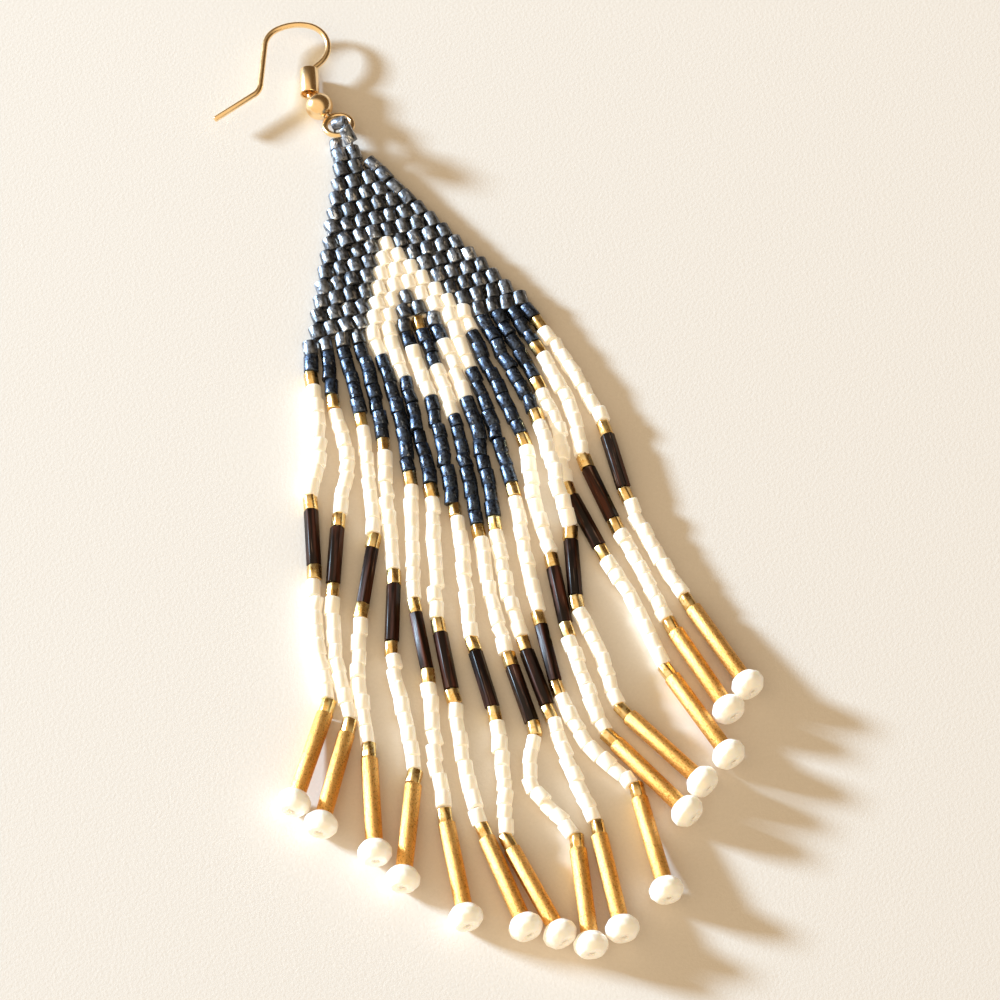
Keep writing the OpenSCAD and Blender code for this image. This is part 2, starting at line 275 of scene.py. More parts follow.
# Each finish has three colours, for the low and the high of the grain and for wear, then how much the beads
# differ in tone, the noise of grain and wear, the range of roughness, and the shader's own sockets
noWear = {"Scale": 1.0, "Low": 2.0, "High": 3.0}
glassRadius = (1.0, 0.85, 0.65)
finishes = {
    "denimBead": {
        "colours": [(0.010, 0.014, 0.025), (0.070, 0.098, 0.15), (0.32, 0.36, 0.43)],
        "spread": 0.8,
        "grain": {"Scale": 3.0, "Stretch": 1.2, "Low": 0.38, "High": 0.64, "Relief": 0.6},
        "wear": {"Scale": 3.6, "Stretch": 1.6, "Low": 0.6, "High": 0.7},
        "roughness": (0.22, 0.46),
        "surface": {"Metallic": 0.75, "Coat Weight": 0.25, "Coat Roughness": 0.2},
    },
    # A lighter copy of denimBead for the blue beads of the panel and the loop: all three colours are raised
    # as painted light, because these beads look brighter than the same beads on the strings
    "denimWeavePaintedLight": {
        "colours": [(0.058, 0.066, 0.084), (0.24, 0.262, 0.302), (0.74, 0.75, 0.76)],
        "spread": 0.9,
        "grain": {"Scale": 2.4, "Stretch": 1.2, "Low": 0.38, "High": 0.64, "Relief": 0.65},
        "wear": {"Scale": 1.7, "Stretch": 2.0, "Low": 0.57, "High": 0.64},
        "roughness": (0.26, 0.5),
        "surface": {"Metallic": 0.75, "Coat Weight": 0.4, "Coat Roughness": 0.35},
    },
    # The small emission stands for the light that comes through the glass from the bright side
    "ivoryBead": {
        "colours": [(0.86, 0.785, 0.655), (0.90, 0.845, 0.745), (0.90, 0.845, 0.745)],
        "spread": 0.07,
        "grain": {"Scale": 1.2, "Stretch": 2.5, "Low": 0.35, "High": 0.65, "Relief": 0.15},
        "wear": noWear,
        "roughness": (0.38, 0.5),
        "surface": {"Subsurface Weight": 0.7, "Subsurface Radius": glassRadius, "Subsurface Scale": 0.0007,
                    "Emission Color": (1.0, 0.86, 0.66, 1), "Emission Strength": 0.23},
    },
    "goldBead": {
        "colours": [(0.88, 0.57, 0.20), (0.98, 0.74, 0.35), (0.60, 0.34, 0.10)],
        "spread": 0.25,
        "grain": {"Scale": 1.5, "Stretch": 1.0, "Low": 0.4, "High": 0.6, "Relief": 0.15},
        "wear": {"Scale": 4.0, "Stretch": 2.0, "Low": 0.64, "High": 0.72},
        "roughness": (0.22, 0.36),
        "surface": {"Metallic": 1.0},
    },
    # Near-black glass. The maroon light colour, which the large spread puts on some bugles more than others,
    # is a painted reflection: it stands for light reflected inside the glass
    "mahoganyBugleWithPaintedReflection": {
        "colours": [(0.011, 0.006, 0.004), (0.065, 0.019, 0.009), (0.22, 0.13, 0.08)],
        "spread": 1.2,
        "grain": {"Scale": 1.8, "Stretch": 12.0, "Low": 0.46, "High": 0.62, "Relief": 0.5},
        "wear": {"Scale": 5.0, "Stretch": 30.0, "Low": 0.62, "High": 0.7},
        "roughness": (0.3, 0.5),
        "surface": {"Specular IOR Level": 0.16},
    },
    "satinGold": {
        "colours": [(0.93, 0.475, 0.125), (0.98, 0.60, 0.19), (0.60, 0.28, 0.06)],
        "spread": 0.1,
        "grain": {"Scale": 9.0, "Stretch": 1.0, "Low": 0.38, "High": 0.62, "Relief": 0.7},
        "wear": {"Scale": 5.5, "Stretch": 1.0, "Low": 0.52, "High": 0.62},
        "roughness": (0.34, 0.5),
        "surface": {"Metallic": 1.0},
    },
    "whiteGlass": {
        "colours": [(0.93, 0.87, 0.77), (0.94, 0.90, 0.82), (0.94, 0.90, 0.82)],
        "spread": 0.02,
        "grain": {"Scale": 0.8, "Stretch": 1.0, "Low": 0.35, "High": 0.65, "Relief": 0.0},
        "wear": noWear,
        "roughness": (0.24, 0.32),
        # The small emission is a painted glow: it stands for the light that comes through the glass from the
        # bright side
        "surface": {"Subsurface Weight": 0.6, "Subsurface Radius": glassRadius, "Subsurface Scale": 0.0012,
                    "Emission Color": (1.0, 0.88, 0.7, 1), "Emission Strength": 0.18},
    },
    "polishedGold": {
        "colours": [(0.98, 0.69, 0.37), (1.0, 0.77, 0.46), (1.0, 0.77, 0.46)],
        "spread": 0.0,
        "grain": {"Scale": 1.5, "Stretch": 1.0, "Low": 0.3, "High": 0.7, "Relief": 0.03},
        "wear": noWear,
        "roughness": (0.2, 0.27),
        "surface": {"Metallic": 1.0},
    },
    "darkThread": {
        "colours": [(0.10, 0.10, 0.11), (0.20, 0.20, 0.21), (0.20, 0.20, 0.21)],
        "spread": 0.0,
        "grain": {"Scale": 5.0, "Stretch": 4.0, "Low": 0.35, "High": 0.65, "Relief": 0.3},
        "wear": noWear,
        "roughness": (0.6, 0.8),
        "surface": {"Sheen Weight": 0.1},
    },
    "paleThreadAndGapLight": {
        "colours": [(0.82, 0.76, 0.66), (0.92, 0.87, 0.78), (0.92, 0.87, 0.78)],
        "spread": 0.0,
        "grain": {"Scale": 5.0, "Stretch": 4.0, "Low": 0.35, "High": 0.65, "Relief": 0.3},
        "wear": noWear,
        "roughness": (0.6, 0.8),
        "surface": {"Sheen Weight": 0.2},
    },
}


# A material: grain and wear in the colour, grain in the roughness and the relief, tone for each bead
def finish(name):
    look = finishes[name]
    material = bpy.data.materials.new(name)
    material.use_nodes = True
    tree = material.node_tree
    shader = tree.nodes["Principled BSDF"]
    grainNode, wearNode, toneNode = (tree.nodes.new("ShaderNodeGroup") for _ in range(3))
    grainNode.node_tree, wearNode.node_tree, toneNode.node_tree = grain, grain, toned
    setSockets(grainNode, look["grain"])
    setSockets(wearNode, look["wear"])
    for key, colour in zip(("Dark", "Light", "Worn"), look["colours"]):
        toneNode.inputs[key].default_value = (*colour, 1)
    setSockets(toneNode, {"Spread": look["spread"]})
    roughness = tree.nodes.new("ShaderNodeMapRange")
    setSockets(roughness, {"To Min": look["roughness"][0], "To Max": look["roughness"][1]})
    setSockets(shader, look["surface"])
    link = tree.links.new
    link(grainNode.outputs["Mask"], toneNode.inputs["Mask"])
    link(wearNode.outputs["Mask"], toneNode.inputs["Wear"])
    link(grainNode.outputs["Mask"], roughness.inputs["Value"])
    link(grainNode.outputs["Normal"], shader.inputs["Normal"])
    link(toneNode.outputs["Color"], shader.inputs["Base Color"])
    link(roughness.outputs["Result"], shader.inputs["Roughness"])
    return material


denim, denimWeavePaintedLight = finish("denimBead"), finish("denimWeavePaintedLight")
ivory, goldBead, bugle = finish("ivoryBead"), finish("goldBead"), finish("mahoganyBugleWithPaintedReflection")
satinGold, whiteGlass, polished = finish("satinGold"), finish("whiteGlass"), finish("polishedGold")
darkThread, paleThreadAndGapLight = finish("darkThread"), finish("paleThreadAndGapLight")
print("materials made")


# beads

beadShape = {
    "blueRadius": 0.75,
    "whiteRadius": 0.775,
    "goldRadius": 0.74,
    "bore": 0.34,
    "rounding": 0.085,
    "sides": 20,
    "goldFacets": 6,
    "goldSides": 24,
    "goldSharp": 0.9,
    "goldRounding": 0.6,  # a gold bead's edges, as a share of a glass bead's
    "slant": 0.11,  # most that an end leans, in height for a step across
    "sizes": (0.91, 1.04),  # range of a bead's size, as a share of the usual one
    "waves": (0.025, 0.02),  # most that a bead is oval, and three-sided
    "threadRadius": 0.14,
}
beadMaterials = [denim, ivory, goldBead, bugle, darkThread, paleThreadAndGapLight]
kinds = {"b": 0, "w": 1, "g": 2, "bugle": 3, "dark": 4, "pale": 5}


# One seed bead with its hole along a direction, turned by the wobble and moved by the drift
def addBead(piece, kind, centre, way, length, wobble, drift, radius=None):
    shape = beadShape
    gold = kind == "g"
    usual = {"b": shape["blueRadius"], "w": shape["whiteRadius"], "g": shape["goldRadius"]}[kind]
    size = (radius or usual) * rng.uniform(*shape["sizes"])
    rounding = shape["rounding"] * (shape["goldRounding"] if gold else 1)
    sides, facets = (shape["goldSides"], shape["goldFacets"]) if gold else (shape["sides"], 0)
    slant = (rng.uniform(-shape["slant"], shape["slant"]), rng.uniform(-shape["slant"], shape["slant"]))
    waves = [(rng.uniform(0, wave), rng.uniform(*anyTurn)) for wave in shape["waves"]]
    profile = tubeProfile(size, shape["bore"], length, rounding)
    verts, faces = turnedRing(profile, sides, facets, shape["goldSharp"], slant, length, waves)
    turn = (Matrix.Rotation(math.radians(rng.gauss(0, wobble)), 4, "X")
            @ Matrix.Rotation(math.radians(rng.gauss(0, wobble)), 4, "Y"))
    step = Vector((rng.gauss(0, drift), rng.gauss(0, drift), 0))
    matrix = (Matrix.Translation(centre) @ frameAlong(way) @ Matrix.Translation(step) @ turn
              @ Matrix.Rotation(rng.uniform(*anyTurn), 4, "Z"))
    piece.add(verts, faces, matrix, kinds[kind])


# The direction this far round to the right from straight down
def turned(degrees):
    return Vector((math.sin(math.radians(degrees)), -math.cos(math.radians(degrees)), 0))


# woven triangle

weave = {
    "rows": 15,
    "topRow": 2,
    "columnPitch": 1.6,
    "upperPitch": 1.56,
    "rowPitch": 1.65,
    "lean": -0.13,
    "upperShift": 0.15,
    "topShift": -0.4,
    "middleShift": 0.4,
    "thickness": 1.55,
    "beadRadius": 0.78,
    "beadGap": 0.03,
    "lengthSpread": (-0.08, 0.02),
    "placeSpread": (0.035, 0.05),
    "heightSpread": (-0.02, 0.03),
    "turnSpread": 2.5,
    "riseSpread": 0.03,
    "wobble": 2.5,
    "drift": 0.015,
    "darkEnds": 1.6,  # beads that the dark thread between two rows leaves free
    # A thick pale thread over the white beads fills the gaps between rows: painted light that lifts the
    # shade in these gaps
    "paleEnds": 1.3,
    "paleThreadAndGapLight": 0.3,
    "threadSides": 6,
}
rowColours = {9: "w", 10: "ww", 11: "www", 12: "wwww", 13: "wwbww", 14: "wwbbww", 15: "wwbgbww"}
# Last bead of the upper rows, which hangs looser: turn to the right of straight down, and step to the right
looseEdge = {3: (27, 0.35), 4: (26, 0.17), 5: (23, 0.07), 6: (18, 0), 7: (12, 0), 8: (8, 0)}


# Colours of the row with this many beads
def rowOf(count):
    middle = rowColours.get(count, "")
    side = (count - len(middle)) // 2
    return "b" * side + middle + "b" * (count - side - len(middle))


# Where a string starts, for -1 at the left end of the bottom row to 1 at its right end
def startX(side):
    return side * (weave["rows"] - 1) / 2 * weave["columnPitch"] + weave["middleShift"] * (1 - side * side)


panel = Piece()
for count in range(weave["topRow"], weave["rows"] + 1):
    up = weave["rows"] - count
    for column, kind in enumerate(rowOf(count)):
        place = column - (count - 1) / 2
        if up == 0:
            x, turn = startX(place * 2 / (count - 1)), 0
        else:
            x = place * weave["upperPitch"] + weave["lean"] * up + weave["upperShift"]
            x += weave["topShift"] if count == weave["topRow"] else 0
            turn = math.degrees(math.atan2(-weave["lean"], weave["rowPitch"]))
        if column == count - 1 and count in looseEdge:
            turn, step = looseEdge[count]
            x += step
        centre = Vector((x + rng.gauss(0, weave["placeSpread"][0]),
                         up * weave["rowPitch"] + rng.gauss(0, weave["placeSpread"][1]),
                         weave["thickness"] / 2 + rng.uniform(*weave["heightSpread"])))
        way = turned(turn + rng.gauss(0, weave["turnSpread"]))
        way = (way + Vector((0, 0, rng.gauss(0, weave["riseSpread"])))).normalized()
        radius = None if kind == "g" else weave["beadRadius"]
        length = weave["rowPitch"] - weave["beadGap"] + rng.uniform(*weave["lengthSpread"])
        addBead(panel, kind, centre, way, length, weave["wobble"], weave["drift"], radius)
# Threads between rows: a thin dark one, and over the white beads a thick pale one, which is painted light
# lifting the shade in the gaps
for count in range(weave["topRow"] + 1, weave["rows"] + 1):
    up = weave["rows"] - count + 0.5
    x, y, z = weave["lean"] * up + weave["upperShift"], up * weave["rowPitch"], weave["thickness"] / 2
    whites = len(rowColours.get(count, ""))
    for kind, beads, radius in (("dark", count - weave["darkEnds"], beadShape["threadRadius"]),
                                ("pale", whites - weave["paleEnds"], weave["paleThreadAndGapLight"])):
        half = beads * weave["upperPitch"] / 2
        if half > 0:
            line = [Vector((x + half * part, y, z)) for part in (-1, 0, 1)]
            verts, faces = sweepRings(line, [radius] * 3, weave["threadSides"])
            panel.add(verts, faces, Matrix.Identity(4), kinds[kind])
# The panel's blue beads take the lighter copy of the bead finish, which is painted light
panel.build("beadPanel", [denimWeavePaintedLight] + beadMaterials[1:], "bead_panel")
print("woven triangle made")


# strings

stringValues = {
    "goldLength": 1.53,
    "goldPitch": 1.6,
    "goldWobble": 3.0,
    "goldDrift": 0.03,
    "restHeight": 0.8,
    "topGap": 0.05,
    "bugleRadius": 0.75,
    "bugleBore": 0.4,
    "bugleLength": 6.2,
    "bugleGap": 0.04,
    "bugleRounding": 0.05,
    "bugleFacets": 6,
    "bugleSides": 42,
    "bugleSharp": 0.85,
    "whiteCount": 8,
    "beadGap": 0.01,
    "samples": 40,  # points of the curve between two knots
    "shares": (0.86, 1.14),  # range of the beads' lengths
    "wobble": 4.5,
    "drift": 0.07,
    "knotRadius": 0.3,
    "knotEnd": 0.8,  # the knot's end, as a share of its radius
    "knotPlaces": (0.7, 0.5, 0.15),  # thread's end and the knot's two ends, from the end bead's end
    "threadStart": 0.2,
    "threadStep": 4,  # points of the curve for each ring of the thread
    "threadSides": 8,
}
tubeValues = {
    "radius": 0.85,
    "bore": 0.5,
    "length": 9.0,
    "rounding": 0.07,
    "sides": 40,
    "restHeight": 0.875,
    "gap": 0.05,
}
endBeadValues = {
    "diameter": 3.4,
    "length": 2.1,
    "table": 2.3,
    "bore": 0.8,
    "facets": 12,
    "turn": 15,
    "bevel": 0.26,
    "bevelSteps": 2,
    "bevelShape": 0.5,
}
# Columns: middle of the blue run, first gold bead, place on the upper white run, second gold bead,
# turn of the bugle, place on the lower white run, last gold bead, turn of the tube
strings = [
    [(-11.5, -1.7), (-11.9, -3.5), (-12.8, -10.2), (-15.4, -17.2), -11, (-18.5, -32.4), (-19.1, -39.3), -31],
    [(-10, -3.2), (-10.4, -6.7), (-10.6, -13.2), (-13.2, -19.8), -18, (-17, -34.5), (-17.6, -41.9), -28],
    [(-7.9, -4.6), (-8.1, -9.4), (-9.1, -16.3), (-10.3, -23), -23, (-15.5, -37.7), (-16.3, -45), -11],
    [(-6.1, -6.4), (-6.7, -12.8), (-8.1, -20.1), (-9.3, -27.4), -16, (-12, -41.7), (-12.7, -48.8), -20],
    [(-4.3, -8.7), (-5, -17.2), (-6.6, -24.2), (-8.1, -31), -4, (-10, -46), (-10.8, -53.5), -4],
    [(-2.7, -9.7), (-3.3, -19.1), (-4.8, -26.4), (-6.3, -33.7), -4, (-7.6, -48.6), (-7.6, -56), 7],
    [(-0.7, -10.5), (-1.5, -21.8), (-2.4, -29.3), (-3.5, -36.6), 1, (-4.2, -51), (-5.6, -57.7), 12.2],
    [(1.1, -12.3), (0.2, -24.7), (-0.4, -31.6), (-0.4, -39.1), 3, (-1.9, -51.8), (0.9, -59.4), -8.5],
    [(3, -12.4), (2, -24.3), (1.4, -30.9), (1.4, -37.8), 4, (2.4, -52.2), (3.2, -58.5), -3],
    [(4.6, -10.5), (4.8, -21.1), (4.1, -28.2), (3.6, -35.5), -2, (4.7, -50), (8, -55.8), -1],
    [(6.2, -8.4), (7.3, -15.9), (6.5, -23.1), (6.5, -29.7), -4, (6.2, -44.1), (7, -49.7), 27.2],
    [(8.1, -7.1), (9.3, -13.7, 1), (9.1, -22.5, 2.4), (9.1, -27.2), -11, (8.5, -40.8), (9, -47.3), 29],
    [(9.45, -5.4), (10.4, -10.1), (11.1, -15.8), (10.2, -22.5), 11, (13.4, -37.3), (14.4, -44.3), 17],
    [(10.6, -3.1), (11.5, -6.1), (12.9, -13.3), (12.7, -19.9), 8, (15, -33.6), (16.1, -39.6), 15],
    [(11.8, -1.6), (12.4, -3.2), (14.2, -9.4), (15.7, -16.7), 0, (16.9, -31.8), (18.5, -37.6), 16],
]
# Colours of the first beads below the bottom row; the rest down to the first gold bead are blue
leadColours = {5: "w", 6: "www", 7: "bwwww", 8: "bbbwwww", 9: "bwwww", 10: "www", 11: "w"}


def raised(place):
    return Vector((place[0], place[1], place[2] if len(place) > 2 else stringValues["restHeight"]))


# Knots of a string's curve: bottom row, the points of its table row, the bugle's far end, the end bead
def knotsOf(number, row):
    side = (2 * number - weave["rows"] - 1) / (weave["rows"] - 1)
    secondGold, lastGold = raised(row[3]), raised(row[6])
    span = stringValues["bugleLength"] + stringValues["goldPitch"]
    run = tubeValues["length"] + tubeValues["gap"] + endBeadValues["length"] / 2
    return [Vector((startX(side), 0, stringValues["restHeight"])), *(raised(place) for place in row[:3]),
            secondGold, secondGold + span * turned(row[4]), raised(row[5]), lastGold,
            lastGold + run * turned(row[7])]


# Slope of the curve at a knot
def knotWay(p, k):
    if k == 0:
        return (p[1] - p[0]).normalized()
    return (p[k + 1] - p[k - 1]) / ((p[k + 1] - p[k]).length + (p[k] - p[k - 1]).length)


# Points along the smooth curve from one knot to another, with the length run up to each
def curvePoints(p, first, last):
    points = []
    for k in range(first, last):
        length = (p[k + 1] - p[k]).length
        for j in range(stringValues["samples"] + (k == last - 1)):
            t = j / stringValues["samples"]
            u = 1 - t
            points.append(u * u * (1 + 2 * t) * p[k] + t * u * u * length * knotWay(p, k)
                          + t * t * (3 - 2 * t) * p[k + 1] - t * t * u * length * knotWay(p, k + 1))
    runs = [0.0]
    for a, b in zip(points, points[1:]):
        runs.append(runs[-1] + (b - a).length)
    return points, runs


# The point that lies a length along a curve
def pointAt(curve, run):
    points, runs = curve
    for k in range(len(runs) - 1):
        if runs[k + 1] >= run or k == len(runs) - 2:
            part = (run - runs[k]) / (runs[k + 1] - runs[k])
            return points[k].lerp(points[k + 1], part)


# Beads of these colours and uneven lengths packed between two lengths of a curve
def addRun(piece, curve, start, stop, colours):
    shares = [rng.uniform(*stringValues["shares"]) for _ in colours]
    unit = (stop - start) / sum(shares)
    for kind, share in zip(colours, shares):
        pitch = unit * share
        a, b = pointAt(curve, start), pointAt(curve, start + pitch)
        start += pitch
        addBead(piece, kind, (a + b) / 2, (b - a).normalized(), pitch - stringValues["beadGap"],
                stringValues["wobble"], stringValues["drift"])


# A thread through these points
def addThread(piece, line, radii, kind):
    verts, faces = sweepRings(line, radii, stringValues["threadSides"])
    piece.add(verts, faces, Matrix.Identity(4), kinds[kind])


# Where a string's gold tube starts, and the tube's direction
def tubeLine(row):
    flat = turned(row[7])
    start = raised(row[6]) + (stringValues["goldPitch"] / 2 + tubeValues["gap"]) * flat
    start.z = tubeValues["restHeight"]
    run = tubeValues["length"] + tubeValues["gap"] + endBeadValues["length"] / 2
    rise = math.asin((endBeadValues["diameter"] / 2 - tubeValues["restHeight"]) / run)
    return start, math.cos(rise) * flat + Vector((0, 0, math.sin(rise)))


for number, row in enumerate(strings, 1):
    p = knotsOf(number, row)
    piece = Piece()
    half = stringValues["goldPitch"] / 2
    upper = curvePoints(p, 0, 2)
    count = weave["rows"] - 2 * abs((weave["rows"] + 1) // 2 - number)
    lead = leadColours.get(number, "")
    lead += "b" * (count - len(lead))
    addRun(piece, upper, weave["rowPitch"] / 2 + stringValues["topGap"], upper[1][-1] - half, lead)
    whites = "w" * stringValues["whiteCount"]
    middle, lower = curvePoints(p, 2, 4), curvePoints(p, 5, 7)
    addRun(piece, middle, half, middle[1][-1] - half, whites)
    addRun(piece, lower, half, lower[1][-1] - half, whites)
    bugleWay, tubeWay = turned(row[4]), turned(row[7])
    for knot, way in ((2, knotWay(p, 2)), (4, knotWay(p, 4) + bugleWay), (5, knotWay(p, 5) + bugleWay),
                      (7, tubeWay)):
        addBead(piece, "g", p[knot], way.normalized(), stringValues["goldLength"],
                stringValues["goldWobble"], stringValues["goldDrift"])
    length = stringValues["bugleLength"] - stringValues["bugleGap"]
    profile = tubeProfile(stringValues["bugleRadius"], stringValues["bugleBore"], length,
                          stringValues["bugleRounding"])
    verts, faces = turnedRing(profile, stringValues["bugleSides"], stringValues["bugleFacets"],
                              stringValues["bugleSharp"])
    matrix = Matrix.Translation((p[4] + p[5]) / 2) @ frameAlong(bugleWay, rng.uniform(*anyTurn))
    piece.add(verts, faces, matrix, kinds["bugle"])
    thin, step = beadShape["threadRadius"], stringValues["threadStep"]
    line = upper[0][step::step] + [upper[0][-1]]
    addThread(piece, line, [thin] * len(line), "dark")
    start, way = tubeLine(row)
    run = tubeValues["length"] + tubeValues["gap"] + endBeadValues["length"]
    line = middle[0][1::step] + [p[4], p[5]] + lower[0][step::step] + [lower[0][-1]]
    line.append(start + way * stringValues["threadStart"])
    line += [start + way * (run - back) for back in stringValues["knotPlaces"]]
    knot = stringValues["knotRadius"]
    radii = [thin] * (len(line) - 2) + [knot, knot * stringValues["knotEnd"]]
    addThread(piece, line, radii, "pale")
    piece.build(f"beadString_{number}", beadMaterials, f"strand_{number}")
print("strings made")


# gold tubes and end beads


# Faceted bead: two tables, and three belts of triangles between rings that are turned by half a facet, with
# the edges ground off
def facetedBead():
    shape = endBeadValues
    count, belt = shape["facets"], shape["length"] / 3
    rings = [(0, shape["bore"] / 2, 0), (0, shape["table"] / 2, 0), (belt, shape["diameter"] / 2, 1),
             (shape["length"] - belt, shape["diameter"] / 2, 0), (shape["length"], shape["table"] / 2, 1),
             (shape["length"], shape["bore"] / 2, 0)]
    mesh = bmesh.new()
    verts = []
    for height, radius, turn in rings:
        for k in range(count):
            angle = 2 * math.pi * (k + turn / 2) / count
            verts.append(mesh.verts.new((radius * math.cos(angle), radius * math.sin(angle), height)))
    for j in range(len(rings)):
        after = (j + 1) % len(rings)
        back = rings[after][2] < rings[j][2]
        for k in range(count):
            a, b = verts[j * count + k], verts[j * count + (k + 1) % count]
            c, d = verts[after * count + k], verts[after * count + (k + 1) % count]
            for face in ([b, a, d], [a, c, d]) if back else ([b, a, c], [b, c, d]):
                mesh.faces.new(face)
    bmesh.ops.recalc_face_normals(mesh, faces=mesh.faces[:])
    bmesh.ops.bevel(mesh, geom=mesh.edges[:], offset=shape["bevel"], offset_type="OFFSET",
                    segments=shape["bevelSteps"], profile=shape["bevelShape"], affect="EDGES",
                    clamp_overlap=True)
    mesh.verts.index_update()
    found = [v.co.copy() for v in mesh.verts], [[v.index for v in face.verts] for face in mesh.faces]
    mesh.free()
    return found


beadVerts, beadFaces = facetedBead()
turn = math.radians(endBeadValues["turn"])
for number, row in enumerate(strings, 1):
    start, way = tubeLine(row)
    tube = Piece()
    profile = tubeProfile(*(tubeValues[key] for key in ("radius", "bore", "length", "rounding")))
    verts, faces = turnedRing(profile, tubeValues["sides"])
    middle = start + way * tubeValues["length"] / 2
    tube.add(verts, faces, Matrix.Translation(middle) @ frameAlong(way, rng.uniform(*anyTurn)), 0)
    tube.build(f"goldTube_{number}", [satinGold], f"gold_tube_{number}")
    foot = start + way * (tubeValues["length"] + tubeValues["gap"])
    bead = Piece()
    bead.add(beadVerts, beadFaces, Matrix.Translation(foot) @ frameAlong(way, turn), 0)
    bead.build(f"whiteRondelle_{number}", [whiteGlass], f"end_bead_{number}")
print("tubes and end beads made")


# ear wire

wire = {
    "radius": 0.322,
    "height": 1.45,
    "eyeMiddle": (-2.0, 24.9),
    "eyeRadius": 1.45,
    "eyeTilt": 12,
    "eyeWay": 115,  # degrees from the right, the way from the eye to the ball
    "neck": (0.6, -38),  # radius and turn of the bend behind the ball
    "tail": 5.2,
    "sides": 24,
    "step": 4,  # most degrees between two rings of a bend
    "tipPlaces": (0.12, 0.04, 0.0),  # last rings, from the tip
    "tipShares": (0.9, 0.55),  # how thick the last two are
    "eyeSides": (16, 56),  # round the wire, and round the eye
    "roundSides": 48,
    "ballSteps": 20,
    "sleeveRounding": 0.06,
    "ballDiameter": 2.9,
    "ballBoreRadius": 0.385,
    "sleeveDiameter": 2.0,
    "sleeveBore": 1.6,
    "sleeveLength": 3.0,
    "sleeveMouth": 0.4,
    "gap": 0.05,
}
ballWay = (wire["ballDiameter"] + 2 * wire["radius"] + 2 * wire["eyeRadius"]) / 2 + wire["gap"]
# Columns: straight length, radius of the bend after it, turn of the bend
wireBends = [
    (wire["sleeveLength"] - wire["sleeveMouth"], 0.5, -48),
    (1.3, 2.85, 126),
    (0, 4.8, 39),
    (0, 2.5, 57),
    (5.1, 1.5, -49),
]


# Moves a pose of x, y and the way that it faces along a straight and round the bend after it
def bent(pose, straight, radius, turn):
    x, y, before = pose
    x += straight * math.cos(math.radians(before))
    y += straight * math.sin(math.radians(before))
    side, after = math.copysign(radius, turn), before + turn
    return (x + side * (math.sin(math.radians(after)) - math.sin(math.radians(before))),
            y - side * (math.cos(math.radians(after)) - math.cos(math.radians(before))), after)


def wirePoint(pose):
    return Vector((pose[0], pose[1], wire["height"]))


def heading(degrees):
    return Vector((math.cos(math.radians(degrees)), math.sin(math.radians(degrees)), 0))


eyeWay, eyeMiddle = heading(wire["eyeWay"]), Vector((*wire["eyeMiddle"], wire["height"]))
eyeFoot = eyeMiddle + wire["eyeRadius"] * eyeWay
eyePose = (eyeFoot.x, eyeFoot.y, wire["eyeWay"])
neckRow = (ballWay + wire["ballDiameter"] / 2 - wire["eyeRadius"], *wire["neck"])
sleevePose = bent(eyePose, *neckRow)
pose, path = eyePose, [wirePoint(eyePose)]
for straight, radius, turn in [neckRow] + wireBends:
    steps = max(2, math.ceil(abs(turn) / wire["step"]))
    for j in range(0 if straight > 0 else 1, steps + 1):
        path.append(wirePoint(bent(pose, straight, radius, turn * j / steps)))
    pose = bent(pose, straight, radius, turn)
tip = wirePoint(pose) + heading(pose[2]) * wire["tail"]
path += [tip - heading(pose[2]) * back for back in wire["tipPlaces"]]
radii = [wire["radius"]] * (len(path) - 2) + [wire["radius"] * share for share in wire["tipShares"]]
earWire = Piece()
verts, faces = sweepRings(path, radii, wire["sides"])
earWire.add(verts, faces, Matrix.Identity(4), 0)
around, along = wire["eyeSides"]
angles = [2 * math.pi * k / around for k in range(around)]
ring = [(wire["eyeRadius"] + wire["radius"] * math.cos(angle), wire["radius"] * math.sin(angle))
        for angle in angles]
verts, faces = turnedRing(ring, along)
tilt = math.radians(wire["eyeTilt"])
lift = Vector((0, 0, wire["eyeRadius"] * eyeWay.y * math.sin(tilt)))
earWire.add(verts, faces, Matrix.Translation(eyeMiddle + lift) @ Matrix.Rotation(-tilt, 4, "X"), 0)
earWire.build("earWire", [polished], "ear_hook")

sleeve = Piece()
sleeveWay = heading(sleevePose[2])
profile = tubeProfile(wire["sleeveDiameter"] / 2, wire["sleeveBore"] / 2, wire["sleeveLength"],
                      wire["sleeveRounding"])
verts, faces = turnedRing(profile, wire["roundSides"])
middle = wirePoint(sleevePose) + sleeveWay * (wire["gap"] + wire["sleeveLength"] / 2)
sleeve.add(verts, faces, Matrix.Translation(middle) @ frameAlong(sleeveWay), 0)
sleeve.build("wireSleeve", [polished], "hook_sleeve")

ball = Piece()
ballRadius = wire["ballDiameter"] / 2
mouth = math.asin(wire["ballBoreRadius"] / ballRadius)
steps = wire["ballSteps"]
angles = [mouth + (math.pi - 2 * mouth) * k / steps for k in range(steps + 1)]
profile = [(ballRadius * math.sin(angle), ballRadius * math.cos(angle)) for angle in angles]
verts, faces = turnedRing(profile, wire["roundSides"])
ball.add(verts, faces, Matrix.Translation(eyeMiddle + eyeWay * ballWay) @ frameAlong(eyeWay), 0)
ball.build("wireBall", [polished], "hook_ball")
print("ear wire made")


# bead loop

